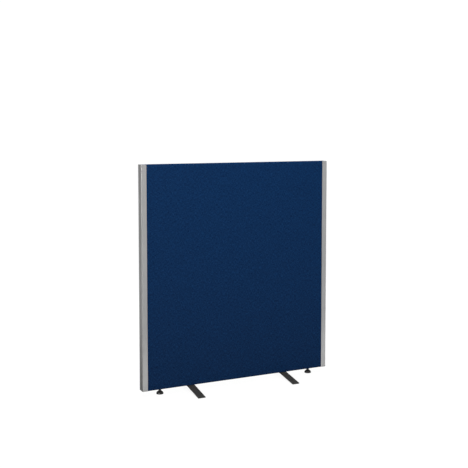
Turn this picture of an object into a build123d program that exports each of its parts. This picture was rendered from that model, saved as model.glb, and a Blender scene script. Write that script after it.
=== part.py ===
from build123d import *
import os
from math import atan2, tan

# Free-standing acoustic divider screen, in millimetres.
# X runs along the panel, the front faces -Y and Z is up.
# The origin lies on the floor, under the middle of the panel.

# Whole screen
panel_width = 1125
panel_height = 1200
ground_clearance = 29

# Layers of the panel, from the timber frame outwards
frame_depth = 34
board_thickness = 3
foam_thickness = 2
fabric_thickness = 1
cloth_fold_radius = 1.5
largest_fold_share = 0.8
hem_gap = 3

# Timber frame
stile_width = 45
rail_height = 45
batten_width = 45
dowel_radius = 4
dowel_length = 40
dowel_spacing = 22
dowel_chamfer = 1
dowel_end_gap = 0.5
drilled_fit = 0.05

# Staples that hold the cloth under the bottom rail
staple_crown = 10
staple_leg = 8
staple_wire_width = 1.2
staple_wire_thickness = 0.6
staple_pitch = 60
staple_hem_inset = 6
staple_margin = 4

# Side trims, an extruded channel that grips the edge of the panel
trim_face = 29
trim_proud = 1
trim_wall = 1.8
trim_web = 2
trim_slot_width = 20
trim_slot_depth = 8
trim_lip_length = 2
panel_edge_gap = 0.3
cloth_to_trim_gap = 0.3

# Flush strip in the slot of each trim
strip_thickness = 2
strip_leg_thickness = 1.2
strip_side_fit = 0.2
strip_recess = 0.3

# End caps of the trims
cap_thickness = 2.5
cap_prong_length = 15
cap_prong_fit = 0.1

# Screws that fix each trim to its stile
trim_screw_count = 5
trim_screw_inset = 100
trim_screw_radius = 2
trim_screw_length = 35
trim_screw_head_radius = 4
trim_screw_head_height = 2.4
trim_screw_head_round = 1
cross_slot_width = 1
cross_slot_length = 4.4
cross_slot_depth = 1.6

# Stabilising feet, bent from flat bar
foot_inset = 278
foot_reach = 169
foot_width = 42
foot_thickness = 5
foot_land_length = 30
foot_toe_length = 8
foot_bend_radius = 6
foot_tip_radius = 3

# Screws and inserts of the feet
foot_screw_spacing = 24
foot_screw_radius = 3
foot_screw_length = 18
foot_screw_head_radius = 5.25
foot_screw_head_height = 3.3
foot_screw_head_round = 1.6
foot_screw_socket = 4
foot_screw_socket_depth = 2
foot_screw_hole_gap = 0.3
foot_insert_radius = 5
foot_insert_length = 13
thread_fit = 0.05

# Levelling glides
glide_inset = 105
glide_pad_radius = 19
glide_pad_base_round = 1
glide_rim_height = 5
glide_shoulder_radius = 16.2
glide_shoulder_height = 10
glide_neck_radius = 9.5
glide_neck_height = 15.5
glide_top_radius = 8.5
glide_pad_height = 17
glide_swivel_fit = 0.05
glide_collar_gap = 0.1
glide_collar_across_flats = 13
glide_collar_height = 5
glide_stem_radius = 4
glide_stem_length = 35
glide_stem_chamfer = 0.8
glide_bulb_radius = 6
glide_bulb_height = 4
glide_bulb_floor = 5
glide_insert_radius = 6
glide_insert_length = 25
glide_insert_collar_radius = 8
glide_insert_collar_height = 1.5
glide_bore_radius = 4.5
glide_bore_spare = 9
glide_cloth_hole_radius = 6

# How far every cutting shape runs past what it cuts
overrun = 2

# Levels
panel_bottom = ground_clearance
panel_top = panel_bottom + panel_height
panel_middle = (panel_bottom + panel_top) / 2
frame_bottom = panel_bottom + fabric_thickness
frame_top = panel_top - fabric_thickness
bottom_rail_top = frame_bottom + rail_height
top_rail_bottom = frame_top - rail_height
trim_bottom = panel_bottom + cap_thickness
trim_top = panel_top - cap_thickness

# Half thicknesses, from the middle of the panel to its faces
frame_half = frame_depth / 2
board_half = frame_half + board_thickness
foam_half = board_half + foam_thickness
fabric_half = foam_half + fabric_thickness
trim_half = fabric_half + trim_proud
tuck_half = board_half + fabric_thickness
pocket_half = trim_half - trim_wall

# Places along the panel, on its right half
trim_outer = panel_width / 2
trim_inner = trim_outer - trim_face
web_outer = trim_outer - trim_slot_depth
web_inner = web_outer - trim_web
panel_edge = web_inner - panel_edge_gap
stile_inner = panel_edge - stile_width
cloth_edge = trim_inner - cloth_to_trim_gap
foot_x = trim_outer - foot_inset
glide_x = trim_outer - glide_inset

# Folds of the cloth round the top and bottom edges
inner_fold = min(cloth_fold_radius, largest_fold_share * foam_thickness)
outer_fold = inner_fold + fabric_thickness

# Ranges that several pieces share
frame_span = (frame_bottom, frame_top)
panel_span = (panel_bottom, panel_top)
trim_span = (trim_bottom, trim_top)


def both(half):
    """Range from minus a length to plus the same length."""
    return (-half, half)


def block(x, y, z):
    """Box that fills three ranges, each given as its low and high end."""
    spans = (x, y, z)
    size = [high - low for low, high in spans]
    middle = [(high + low) / 2 for low, high in spans]
    return Pos(*middle) * Box(*size)


def rod(radius, z, x=0, y=0):
    """Upright round bar or hole over a range of heights."""
    low, high = z
    return Pos(x, y, (low + high) / 2) * Cylinder(radius, high - low)


def slab(half_x, half_y, z, fold):
    """Box with its four edges along X rounded."""
    plain = block(both(half_x), both(half_y), z)
    return fillet(plain.edges().filter_by(Axis.X), fold)


def group(pieces):
    """Several separate solids held in one piece."""
    return Compound([solid for piece in pieces for solid in piece.solids()])


def across(points):
    """A line of points given for the rear half, with its mirror image before it."""
    return [(-y, z) for y, z in reversed(points)] + points


def other_side(piece):
    """The same piece at the other end of the panel."""
    return mirror(piece, about=Plane.YZ)


def other_face(piece):
    """The same piece on the other face of the panel."""
    return mirror(piece, about=Plane.XZ)


def other_end(piece):
    """The same piece at the bottom of the panel instead of the top."""
    return mirror(piece, about=Plane.XY.offset(panel_middle))


def screw(shank_radius, shank_length, head_radius, head_height, head_round):
    """Screw that points up, with the underside of its head at the origin."""
    head = rod(head_radius, (-head_height, 0))
    rim = head.edges().filter_by(GeomType.CIRCLE).sort_by(Axis.Z)[0]
    head = fillet(rim, head_round)
    return head + rod(shank_radius, (0, shank_length))


def dowel_shape(radius, length):
    """Round wooden pin along Z, centred at the origin."""
    pin = rod(radius, both(length / 2))
    return chamfer(pin.edges().filter_by(GeomType.CIRCLE), dowel_chamfer)


def dowel_places():
    """Where each dowel lies: two to a joint of the frame."""
    along_x = Rot(0, 90, 0)
    places = []
    for side in (-1, 1):
        for step in (-dowel_spacing / 2, dowel_spacing / 2):
            for rail_middle in (frame_bottom + rail_height / 2, frame_top - rail_height / 2):
                places.append(Pos(side * stile_inner, 0, rail_middle + step) * along_x)
            joint = bottom_rail_top if side < 0 else top_rail_bottom
            places.append(Pos(step, 0, joint))
    return places


def dowels():
    """All dowels of the frame."""
    return group([place * dowel_shape(dowel_radius, dowel_length) for place in dowel_places()])


def dowel_holes():
    """Drilled holes that the dowels fit."""
    depth = dowel_length + 2 * dowel_end_gap
    hole = rod(dowel_radius + drilled_fit, both(depth / 2))
    return [place * hole for place in dowel_places()]


def trim_screw_places():
    """Where each screw of the right-hand trim seats on its web."""
    inwards = Rot(0, -90, 0)
    first = panel_bottom + trim_screw_inset
    pitch = (panel_height - 2 * trim_screw_inset) / (trim_screw_count - 1)
    return [Pos(web_outer, 0, first + pitch * index) * inwards for index in range(trim_screw_count)]


def trim_screws():
    """Cross-slotted screws that fix the right-hand trim."""
    one = screw(
        trim_screw_radius,
        trim_screw_length,
        trim_screw_head_radius,
        trim_screw_head_height,
        trim_screw_head_round,
    )
    recess = (-trim_screw_head_height, cross_slot_depth - trim_screw_head_height)
    one -= block(both(cross_slot_length / 2), both(cross_slot_width / 2), recess)
    one -= block(both(cross_slot_width / 2), both(cross_slot_length / 2), recess)
    return group([place * one for place in trim_screw_places()])


def trim_screw_holes():
    """Holes for the screws of the right-hand trim, in the web and in the stile."""
    hole = rod(trim_screw_radius + drilled_fit, (-overrun, trim_screw_length + drilled_fit))
    return [place * hole for place in trim_screw_places()]


def foot_screw_places():
    """Where the screws of the right-hand foot pass, as X places."""
    return [foot_x - foot_screw_spacing / 2, foot_x + foot_screw_spacing / 2]


def foot_screws():
    """Socket-headed screws of the right-hand foot."""
    one = screw(
        foot_screw_radius,
        foot_screw_length,
        foot_screw_head_radius,
        foot_screw_head_height,
        foot_screw_head_round,
    )
    socket = extrude(RegularPolygon(foot_screw_socket / 2, 6, major_radius=False), foot_screw_socket_depth)
    one -= Pos(0, 0, -foot_screw_head_height) * socket
    seat = ground_clearance - foot_thickness
    return group([Pos(x, 0, seat) * one for x in foot_screw_places()])


def foot_inserts():
    """Threaded sleeves in the bottom rail for the screws of the right-hand foot."""
    span = (frame_bottom, frame_bottom + foot_insert_length)
    sleeves = []
    for x in foot_screw_places():
        sleeve = rod(foot_insert_radius, span, x)
        sleeves.append(sleeve - rod(foot_screw_radius + thread_fit, span, x))
    return group(sleeves)


def foot_insert_holes():
    """Holes in the bottom rail for the right-hand sleeves."""
    seat = frame_bottom + foot_insert_length
    tip = ground_clearance - foot_thickness + foot_screw_length
    span = (frame_bottom - overrun, seat)
    relief = (frame_bottom, max(seat, tip) + drilled_fit)
    holes = [rod(foot_insert_radius + drilled_fit, span, x) for x in foot_screw_places()]
    holes += [rod(foot_screw_radius + thread_fit, relief, x) for x in foot_screw_places()]
    return holes


def foot():
    """Right-hand foot: a flat bar, level under the panel, sloping to a level toe at each end."""
    rise = ground_clearance - foot_thickness
    land = foot_land_length / 2
    toe = foot_reach - foot_toe_length
    slope = atan2(rise, toe - land)
    shift = foot_thickness * tan(slope / 2)
    inside = foot_bend_radius
    outside = foot_bend_radius + foot_thickness
    upper = [(land, ground_clearance), (toe, foot_thickness), (foot_reach, foot_thickness)]
    lower = [(land - shift, rise), (toe - shift, 0), (foot_reach, 0)]
    upper_line = FilletPolyline(*across(upper), radius=[inside, outside, outside, inside])
    lower_line = FilletPolyline(*across(lower), radius=[outside, inside, inside, outside])
    ends = [Line((side * foot_reach, 0), (side * foot_reach, foot_thickness)) for side in (-1, 1)]
    profile = Plane.YZ * make_face([upper_line, lower_line, *ends])
    bar = extrude(profile, foot_width / 2, both=True)
    bar = fillet(bar.edges().filter_by(Axis.Z), foot_tip_radius)
    bar = Pos(foot_x, 0, 0) * bar
    for x in foot_screw_places():
        bar -= rod(foot_screw_radius + foot_screw_hole_gap, (rise - overrun, ground_clearance + overrun), x)
    return bar


def glide_bore_top():
    """Height that the drilled bore over each glide reaches."""
    return glide_pad_height + glide_collar_gap + glide_collar_height + glide_stem_length + glide_bore_spare


def glide_insert():
    """Threaded sleeve of the right-hand glide, with its collar let into the rail."""
    body = rod(glide_insert_radius, (frame_bottom, frame_bottom + glide_insert_length), glide_x)
    collar = rod(glide_insert_collar_radius, (frame_bottom, frame_bottom + glide_insert_collar_height), glide_x)
    bore = rod(glide_stem_radius + thread_fit, (frame_bottom, frame_bottom + glide_insert_length), glide_x)
    return body + collar - bore


def glide_holes():
    """Holes in the bottom rail for the right-hand sleeve and the stem above it."""
    body = (frame_bottom - overrun, frame_bottom + glide_insert_length)
    collar = (frame_bottom - overrun, frame_bottom + glide_insert_collar_height)
    return [
        rod(glide_insert_radius + drilled_fit, body, glide_x),
        rod(glide_insert_collar_radius + drilled_fit, collar, glide_x),
        rod(glide_bore_radius, (frame_bottom, glide_bore_top()), glide_x),
    ]


def glide_stem():
    """Right-hand stem: a bulb held in the pad, a hexagon to turn it by, and a threaded shank."""
    bulb_top = glide_bulb_floor + glide_bulb_height
    collar_bottom = glide_pad_height + glide_collar_gap
    collar_top = collar_bottom + glide_collar_height
    bulb = rod(glide_bulb_radius, (glide_bulb_floor, bulb_top))
    neck = rod(glide_stem_radius, (bulb_top, collar_bottom))
    hexagon = extrude(RegularPolygon(glide_collar_across_flats / 2, 6, major_radius=False), glide_collar_height)
    shank = rod(glide_stem_radius, (collar_top, collar_top + glide_stem_length))
    shank = chamfer(shank.edges().filter_by(GeomType.CIRCLE).sort_by(Axis.Z)[-1], glide_stem_chamfer)
    return Pos(glide_x, 0, 0) * (bulb + neck + Pos(0, 0, collar_bottom) * hexagon + shank)


def glide_pad():
    """Right-hand pad: a moulded bell with a socket in which the bulb of the stem turns."""
    base = glide_pad_radius - glide_pad_base_round
    outline = [
        Line((0, 0), (base, 0)),
        RadiusArc((base, 0), (glide_pad_radius, glide_pad_base_round), -glide_pad_base_round),
        Line((glide_pad_radius, glide_pad_base_round), (glide_pad_radius, glide_rim_height)),
        ThreePointArc(
            (glide_pad_radius, glide_rim_height),
            (glide_shoulder_radius, glide_shoulder_height),
            (glide_neck_radius, glide_neck_height),
        ),
        Polyline(
            (glide_neck_radius, glide_neck_height),
            (glide_top_radius, glide_pad_height),
            (0, glide_pad_height),
            (0, 0),
        ),
    ]
    bell = revolve(Plane.XZ * make_face(outline), Axis.Z)
    socket_top = glide_bulb_floor + glide_bulb_height + glide_swivel_fit
    bell -= rod(glide_bulb_radius + glide_swivel_fit, (glide_bulb_floor - glide_swivel_fit, socket_top))
    bell -= rod(glide_stem_radius + glide_swivel_fit, (socket_top - glide_swivel_fit, glide_pad_height + overrun))
    return Pos(glide_x, 0, 0) * bell


def staple_places():
    """X places of the staples along one edge of the cloth, clear of the feet and the glides."""
    end = stile_inner - staple_crown
    count = int(2 * end / staple_pitch)
    places = []
    for index in range(count + 1):
        x = (index - count / 2) * staple_pitch
        clear_of_foot = abs(abs(x) - foot_x) > (foot_width + staple_crown) / 2 + staple_margin
        clear_of_glide = abs(abs(x) - glide_x) > glide_insert_collar_radius + staple_crown / 2 + staple_margin
        if clear_of_foot and clear_of_glide:
            places.append(x)
    return places


def staples():
    """Wire staples, their crowns flat on the cloth and their legs in the bottom rail."""
    wire = both(staple_wire_width / 2)
    crown = block(both(staple_crown / 2), wire, (-staple_wire_thickness, 0))
    leg_outside = staple_crown / 2
    leg = block((leg_outside - staple_wire_thickness, leg_outside), wire, (-staple_wire_thickness, staple_leg))
    one = crown + leg + other_side(leg)
    row_y = hem_gap / 2 + staple_hem_inset
    return [Pos(x, y, panel_bottom) * one for y in both(row_y) for x in staple_places()]


def bottom_rail():
    """Bottom rail of the frame, drilled for dowels, feet and glides, with the staples driven in."""
    rail = block(both(stile_inner), both(frame_half), (frame_bottom, bottom_rail_top))
    rail = rail - dowel_holes() - staples()
    for hole in foot_insert_holes() + glide_holes():
        rail -= hole
        rail -= other_side(hole)
    return rail


def top_rail():
    """Top rail of the frame."""
    rail = block(both(stile_inner), both(frame_half), (top_rail_bottom, frame_top))
    return rail - dowel_holes()


def stile():
    """Right-hand upright of the frame."""
    upright = block((stile_inner, panel_edge), both(frame_half), frame_span)
    return upright - dowel_holes() - trim_screw_holes()


def batten():
    """Upright in the middle of the frame."""
    upright = block(both(batten_width / 2), both(frame_half), (bottom_rail_top, top_rail_bottom))
    return upright - dowel_holes()


def acoustic_core():
    """Right-hand slab of sound-absorbing infill."""
    return block((batten_width / 2, stile_inner), both(frame_half), (bottom_rail_top, top_rail_bottom))


def front_board():
    """Thin stiff board on the front of the frame."""
    return block(both(panel_edge), (-board_half, -frame_half), frame_span)


def padding():
    """Space inside the cloth between the two trims."""
    return slab(cloth_edge - fabric_thickness, foam_half, frame_span, inner_fold)


def front_foam():
    """Foam sheet between the front board and the cloth."""
    return padding() & block(both(cloth_edge), (-foam_half, -board_half), frame_span)


def fabric_cover():
    """One cloth, from the underside up the front, over the top and down the rear, tucked into both trims."""
    outside = slab(cloth_edge, fabric_half, panel_span, outer_fold)
    outside += block(both(panel_edge), both(tuck_half), panel_span)
    cover = outside - padding() - block(both(panel_edge + overrun), both(board_half), frame_span)
    cover -= block(both(panel_edge + overrun), both(hem_gap / 2), (panel_bottom - overrun, frame_bottom))
    cover -= staples()
    through = (panel_bottom - overrun, frame_bottom)
    holes = [rod(glide_cloth_hole_radius, through, glide_x)]
    holes += [rod(foot_screw_radius + foot_screw_hole_gap, through, x) for x in foot_screw_places()]
    for hole in holes:
        cover -= hole
        cover -= other_side(hole)
    return cover


def on_both_faces(x, y, z):
    """The same block at the front and at the rear."""
    piece = block(x, y, z)
    return piece + other_face(piece)


def trim():
    """Right-hand trim: flanges round the edge of the panel, and an outer slot over the screws."""
    channel = block((trim_inner, trim_outer), both(trim_half), trim_span)
    channel -= block((trim_inner - overrun, web_inner), both(pocket_half), trim_span)
    channel -= block((web_outer, trim_outer + overrun), both(trim_slot_width / 2), trim_span)
    chamber = (trim_slot_width / 2 + trim_wall, pocket_half)
    channel -= on_both_faces((web_outer, trim_outer - trim_wall), chamber, trim_span)
    channel += on_both_faces((trim_inner, trim_inner + trim_lip_length), (tuck_half, pocket_half), trim_span)
    return channel - trim_screw_holes()


def infill_strip():
    """Right-hand strip that closes the slot of the trim, standing on two legs."""
    face = trim_outer - strip_recess
    back = face - strip_thickness
    side = trim_slot_width / 2 - strip_side_fit
    strip = block((back, face), both(side), trim_span)
    return strip + on_both_faces((web_outer, back), (side - strip_leg_thickness, side), trim_span)


def top_cap():
    """Right-hand top cap: a plate round the edge of the panel, with a prong in each side chamber."""
    plate = block((trim_inner, trim_outer), both(trim_half), (trim_top, panel_top))
    plate -= block((trim_inner - overrun, web_inner), both(tuck_half), (trim_top, panel_top))
    prong_x = (web_outer + cap_prong_fit, trim_outer - trim_wall - cap_prong_fit)
    prong_y = (trim_slot_width / 2 + trim_wall + cap_prong_fit, pocket_half - cap_prong_fit)
    return plate + on_both_faces(prong_x, prong_y, (trim_top - cap_prong_length, trim_top))


def pieces():
    """Every piece of the screen by name."""
    made = {
        "frame_top_rail": top_rail(),
        "frame_bottom_rail": bottom_rail(),
        "frame_centre_batten": batten(),
        "frame_dowels": dowels(),
        "front_board": front_board(),
        "rear_board": other_face(front_board()),
        "front_foam": front_foam(),
        "rear_foam": other_face(front_foam()),
        "fabric_cover": fabric_cover(),
        "fabric_staples": group(staples()),
    }
    sided = {
        "frame_{}_stile": stile(),
        "{}_acoustic_core": acoustic_core(),
        "{}_trim": trim(),
        "{}_infill_strip": infill_strip(),
        "{}_top_cap": top_cap(),
        "{}_bottom_cap": other_end(top_cap()),
        "{}_trim_screws": trim_screws(),
        "{}_foot": foot(),
        "{}_foot_screws": foot_screws(),
        "{}_foot_inserts": foot_inserts(),
        "{}_glide_insert": glide_insert(),
        "{}_glide_stem": glide_stem(),
        "{}_glide_pad": glide_pad(),
    }
    for name, piece in sided.items():
        made[name.format("right")] = piece
        made[name.format("left")] = other_side(piece)
    return made


os.makedirs("parts", exist_ok=True)
for name, piece in pieces().items():
    export_step(piece, "parts/" + name + ".step")
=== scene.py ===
"""Looks of a free-standing acoustic divider screen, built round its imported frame.

Lengths are in metres. X runs along the panel, the front faces -Y and Z is up, as in the frame.
Each sub-assembly is a class that holds its sizes and makes, dresses and places its own pieces.
"""

import logging
import math
import random
from contextlib import contextmanager
from dataclasses import dataclass, replace
from enum import Enum
from typing import Callable, Iterator, NamedTuple, Sequence

import bmesh
import bpy
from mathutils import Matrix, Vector


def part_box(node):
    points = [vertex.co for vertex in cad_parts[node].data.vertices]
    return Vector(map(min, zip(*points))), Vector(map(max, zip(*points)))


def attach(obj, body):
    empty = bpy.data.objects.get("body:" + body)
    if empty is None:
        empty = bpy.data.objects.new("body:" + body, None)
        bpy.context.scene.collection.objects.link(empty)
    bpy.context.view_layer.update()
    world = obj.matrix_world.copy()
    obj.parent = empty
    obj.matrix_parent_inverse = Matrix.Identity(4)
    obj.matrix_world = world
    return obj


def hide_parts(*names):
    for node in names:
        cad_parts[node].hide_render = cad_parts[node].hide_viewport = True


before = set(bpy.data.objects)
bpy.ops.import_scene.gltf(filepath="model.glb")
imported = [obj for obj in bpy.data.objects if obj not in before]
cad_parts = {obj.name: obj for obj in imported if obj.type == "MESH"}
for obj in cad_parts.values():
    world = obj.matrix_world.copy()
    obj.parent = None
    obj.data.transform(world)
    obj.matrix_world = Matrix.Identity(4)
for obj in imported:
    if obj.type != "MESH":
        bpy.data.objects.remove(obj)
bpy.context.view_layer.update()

log = logging.getLogger("divider_screen")

Point = tuple[float, float, float]
Colour = tuple[float, float, float]
Pair = tuple[float, float]
Test = Callable[[Vector, Vector], bool]
Socket = bpy.types.NodeSocket

# Units, tolerances and other fixed values

MM = 0.001
TINY = 0.1 * MM
FLAT = math.radians(0.5)
ALONG = 0.999
SORTING = Vector((0.5937, 0.3119, 0.7417))
EASE_STEPS = 3
FIXED_BODY = "root"


class Kind(Enum):
    """What a selection in edit mode is made of."""

    EDGE = "EDGE"
    FACE = "FACE"


class Merge(Enum):
    """How one workpiece changes another."""

    SUBTRACT = "DIFFERENCE"
    ADD = "UNION"
    KEEP_SHARED = "INTERSECT"


class Side(Enum):
    """End of the screen, as seen from the front, by the sign of its X."""

    LEFT = -1
    RIGHT = 1

    def node(self, rest: str) -> str:
        """Name of a node or piece at this end."""
        return f"{self.name.lower()}_{rest}"


class Coordinates(Enum):
    """What a pattern is laid out on."""

    OBJECT = "Object"
    UNWRAPPED = "UV"


class LightsUp(Enum):
    """What a studio light adds to on the surfaces that it reaches."""

    ALL_BUT_GLOSS = "body"
    ONLY_GLOSS = "gloss"


def grey(level: float) -> Colour:
    """Neutral colour."""
    return (level, level, level)


def facing(angle: float) -> Vector:
    """Unit vector of a direction in a plane."""
    return Vector((math.cos(angle), math.sin(angle)))


def screw_places(side: Side) -> Pair:
    """X of the two screws of a foot, half a head inside the ends of their node.

    Args:
        side: the foot's end of the screen.

    Returns:
        The lower X and the higher.
    """
    low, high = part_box(side.node("foot_screws"))
    head = (high.y - low.y) / 2
    return low.x + head, high.x - head


# The bench: primitives, edit-mode work and modifiers


def clear_selection() -> None:
    """Deselects everything, because an operator acts on all that is selected."""
    bpy.ops.object.select_all(action="DESELECT")


class Workpiece:
    """One mesh on the bench: a primitive, shaped in edit mode and finished with modifiers."""

    def __init__(self, name: str) -> None:
        """Takes the object that was added last and settles its place into its mesh.

        Args:
            name: the piece's name.
        """
        self.body = bpy.context.object
        self.rename(name)
        bpy.ops.object.transform_apply(location=True, rotation=True, scale=True)

    @classmethod
    def start(cls, name: str, add: Callable[..., set[str]], **settings: object) -> "Workpiece":
        """Starts from a primitive.

        Args:
            name: the piece's name.
            add: the operator that adds the primitive.
            **settings: what the operator is given, with the place and the size.

        Returns:
            The new workpiece.
        """
        clear_selection()
        add(**settings)
        return cls(name)

    @classmethod
    def cuboid(cls, name: str, low: Vector, high: Vector) -> "Workpiece":
        """Starts from a cube stretched between its lowest and highest corner."""
        add = bpy.ops.mesh.primitive_cube_add
        return cls.start(name, add, size=1, location=(low + high) / 2, scale=high - low)

    @classmethod
    def bar(cls, name: str, centre: Point, radius: float, length: float, sides: int) -> "Workpiece":
        """Starts from an upright bar, by its middle and the radius over its corners."""
        add = bpy.ops.mesh.primitive_cylinder_add
        return cls.start(name, add, vertices=sides, radius=radius, depth=length, location=centre)

    @classmethod
    def turned(cls, name: str, x: float, outline: Sequence[Pair], sides: int) -> "Workpiece":
        """Grows a round form from a disc, ring by ring, and leaves the last ring as its closing face.

        Args:
            name: the piece's name.
            x: where its upright axis stands in the middle plane of the screen.
            outline: radius and height of the disc and of each ring after it.
            sides: how many flats it has.

        Returns:
            The new workpiece.
        """
        radius, height = outline[0]
        add = bpy.ops.mesh.primitive_circle_add
        disc = {"vertices": sides, "radius": radius, "location": (x, 0, height)}
        piece = cls.start(name, add, fill_type="NGON", **disc)
        with piece.editing():
            bpy.ops.mesh.select_all(action="SELECT")
            for new_radius, new_height in outline[1:]:
                piece.extrude((0, 0, new_height - height))
                scale = (new_radius / radius, new_radius / radius, 1)
                bpy.ops.transform.resize(value=scale, center_override=(x, 0, new_height))
                radius, height = new_radius, new_height
            piece.tidy_mesh()
        return piece

    @classmethod
    def section(
        cls, name: str, columns: Sequence[float], rows: Sequence[float],
        solid: Callable[[float, float], bool], level: float,
    ) -> "Workpiece":
        """Starts from a level grid whose lines go to a section's corners, without its hollows.

        Args:
            name: the piece's name.
            columns: the section's corner lines along X.
            rows: the section's corner lines along Y.
            solid: tells from a cell's middle whether the section is solid there.
            level: the height of the grid.

        Returns:
            The new workpiece, a flat section ready to be extruded.
        """
        columns, rows = sorted(columns), sorted(rows)
        cells = (len(columns) - 1, len(rows) - 1)
        grid = {"x_subdivisions": cells[0], "y_subdivisions": cells[1], "size": 1}
        piece = cls.start(name, bpy.ops.mesh.primitive_grid_add, **grid)
        for corner in piece.body.data.vertices:
            column, row = (round((place + 0.5) * count) for place, count in zip(corner.co, cells))
            corner.co = (columns[column], rows[row], level)
        with piece.editing():
            piece.cut_out(lambda middle, _: not solid(middle.x, middle.y))
        return piece

    def rename(self, name: str) -> None:
        """Names the object and its mesh."""
        self.body.name = self.body.data.name = name

    def take(self) -> None:
        """Selects this piece alone, and makes it the active one."""
        clear_selection()
        self.body.select_set(True)
        bpy.context.view_layer.objects.active = self.body

    @contextmanager
    def editing(self) -> Iterator[None]:
        """Edit mode on this piece alone, for the length of a with block."""
        self.take()
        bpy.ops.object.mode_set(mode="EDIT")
        yield
        self.settle_order()
        bpy.ops.object.mode_set(mode="OBJECT")

    def settle_order(self) -> None:
        """Puts corners, edges and faces in an order that only their places decide, in edit mode."""
        mesh = bmesh.from_edit_mesh(self.body.data)
        mesh.verts.sort(key=lambda corner: corner.co.dot(SORTING))
        for parts in (mesh.edges, mesh.faces):
            parts.sort(key=lambda part: sum(corner.co.dot(SORTING) for corner in part.verts))
        bmesh.update_edit_mesh(self.body.data)

    def choose(self, kind: Kind, wanted: Test) -> int:
        """Selects in edit mode what a test accepts, and nothing else.

        Args:
            kind: whether edges or faces are tested.
            wanted: gets an edge's middle and run, or a face's middle and normal.

        Returns:
            How many were selected.
        """
        bpy.ops.mesh.select_mode(type=kind.value)
        bpy.ops.mesh.select_all(action="DESELECT")
        mesh = bmesh.from_edit_mesh(self.body.data)
        if kind is Kind.FACE:
            chosen = [face for face in mesh.faces if wanted(face.calc_center_median(), face.normal)]
        else:
            chosen = []
            for edge in mesh.edges:
                start, end = (corner.co for corner in edge.verts)
                if wanted((start + end) / 2, (end - start).normalized()):
                    chosen.append(edge)
        for element in chosen:
            element.select_set(True)
        bmesh.update_edit_mesh(self.body.data)
        return len(chosen)

    def extrude(self, move: Point) -> None:
        """Extrudes in edit mode what is selected, by a move."""
        bpy.ops.mesh.extrude_region_move(TRANSFORM_OT_translate={"value": move})

    def cut_out(self, wanted: Test) -> None:
        """Deletes in edit mode the faces that a test accepts."""
        if self.choose(Kind.FACE, wanted):
            bpy.ops.mesh.delete(type="FACE")

    def round_off(self, radius: float, steps: int, wanted: Test) -> None:
        """Rounds in edit mode the edges that a test accepts, in a number of steps."""
        self.choose(Kind.EDGE, wanted)
        bpy.ops.mesh.bevel(offset=radius, segments=steps, affect="EDGES")

    def slice_along(self, axis: str, cuts: int) -> None:
        """Cuts in edit mode all edges that run along x, y or z, and the faces between them."""
        self.choose(Kind.EDGE, lambda _, run: abs(getattr(run, axis)) > ALONG)
        bpy.ops.mesh.subdivide(number_cuts=cuts)

    def tidy_mesh(self) -> None:
        """Merges doubled corners, points every face outwards and settles the order, in edit mode."""
        bpy.ops.mesh.select_all(action="SELECT")
        bpy.ops.mesh.remove_doubles(threshold=TINY / 100)
        bpy.ops.mesh.normals_make_consistent(inside=False)
        self.settle_order()

    def merge_flats(self) -> None:
        """Tidies the mesh and joins faces that lie in one plane, in edit mode."""
        self.tidy_mesh()
        bpy.ops.mesh.dissolve_limited(angle_limit=FLAT)

    def rise(self, height: float) -> None:
        """Extrudes the whole flat section up to a bar.

        Args:
            height: the length of the bar.
        """
        with self.editing():
            bpy.ops.mesh.select_all(action="SELECT")
            self.extrude((0, 0, height))
            self.merge_flats()

    def modify(self, kind: str, **settings: object) -> None:
        """Adds a modifier and applies it.

        Args:
            kind: the modifier's type.
            **settings: its settings.
        """
        self.take()
        modifier = self.body.modifiers.new(kind.title(), kind)
        for key, value in settings.items():
            setattr(modifier, key, value)
        bpy.ops.object.modifier_apply(modifier=modifier.name)

    def smooth(self, crease: float) -> None:
        """Shades the piece smooth, apart from edges that turn by more than a crease's degrees."""
        self.take()
        bpy.ops.object.shade_smooth_by_angle(angle=math.radians(crease))

    def ease_edges(self, width: float, crease: float = 30) -> None:
        """Rounds every sharp edge, with flat faces still shading flat.

        Args:
            width: how far the rounding reaches.
            crease: the smallest turn, in degrees, that counts as an edge.
        """
        self.smooth(180)
        self.modify(
            "BEVEL", width=width, segments=EASE_STEPS, limit_method="ANGLE",
            angle_limit=math.radians(crease), harden_normals=True,
        )

    def combine(self, other: "Workpiece", how: Merge) -> None:
        """Cuts, joins or intersects with another workpiece, which is used up."""
        self.modify("BOOLEAN", object=other.body, operation=how.value, solver="EXACT")
        bpy.data.meshes.remove(other.body.data)

    def drill(self, holes: Sequence[Pair], level: float, length: float, sides: int) -> None:
        """Drills upright holes in the middle plane of the screen.

        Args:
            holes: X and radius of each hole.
            level: the height of the drills' middle.
            length: how long the drills are.
            sides: how many flats a hole has.
        """
        drills = [Workpiece.bar("drill", (x, 0, level), radius, length, sides) for x, radius in holes]
        drills[0].take()
        for drill in drills:
            drill.body.select_set(True)
        bpy.ops.object.join()
        self.combine(drills[0], Merge.SUBTRACT)

    def turned_copy(self, name: str, axis: str = "Z", centre: Point = (0, 0, 0)) -> "Workpiece":
        """Copies the piece, with a mesh of its own, and gives the copy half a turn.

        Args:
            name: the copy's name.
            axis: the axis it turns about.
            centre: a point on that axis. The upright one through the origin swaps the two ends.

        Returns:
            The copy.
        """
        self.take()
        bpy.ops.object.duplicate(linked=False)
        bpy.ops.transform.rotate(value=math.pi, orient_axis=axis, center_override=centre)
        return Workpiece(name)

    def place(self, finish: "Finish", *nodes: str, body: str = FIXED_BODY) -> bpy.types.Object:
        """Dresses the finished piece and hands it to the frame.

        Args:
            finish: its surface.
            *nodes: the nodes that it stands for.
            body: the body that it rides on.

        Returns:
            The piece's object.
        """
        self.body.data.materials.clear()
        self.body.data.materials.append(finish.material())
        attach(self.body, body)
        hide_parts(*nodes)
        log.info("%s: %d faces on %s", self.body.name, len(self.body.data.polygons), body)
        return self.body

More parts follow.
